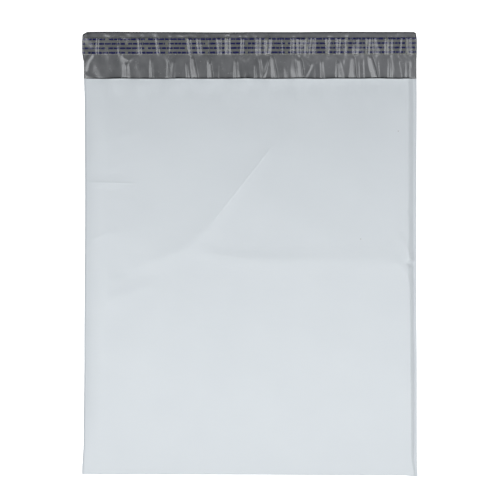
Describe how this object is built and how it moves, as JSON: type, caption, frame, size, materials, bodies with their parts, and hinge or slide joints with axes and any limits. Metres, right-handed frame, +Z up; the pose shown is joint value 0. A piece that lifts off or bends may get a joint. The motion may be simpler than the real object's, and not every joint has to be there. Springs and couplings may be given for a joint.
{
  "type": "poly mailer bag",
  "caption": "Flat white polyethylene mailing bag with a grey-lined pocket, open at one end, and a peel-and-seal lip.",
  "frame": {"origin": "middle of the back panel's outer face, at the centre of the bag's outline, on the surface it lies on", "axes": "+X across the bag, weld to weld; +Y along the bag, from the bottom fold to the lip's free edge; +Z up, out of the front panel"},
  "size_m": [0.355, 0.47, 0.0061],
  "materials": {
    "coextruded_film": "satin opaque polyethylene, cool white on the outside and mid grey on the inside, which shows on the lip",
    "adhesive": "clear, faintly amber pressure-sensitive hot melt",
    "liner_film": "clear glossy release film with four rows of small dark blue dashes"
  },
  "bodies": {
    "root": {"bag_film": "coextruded_film", "adhesive_strip": "adhesive", "release_liner": "liner_film"}
  },
  "joints": []
}
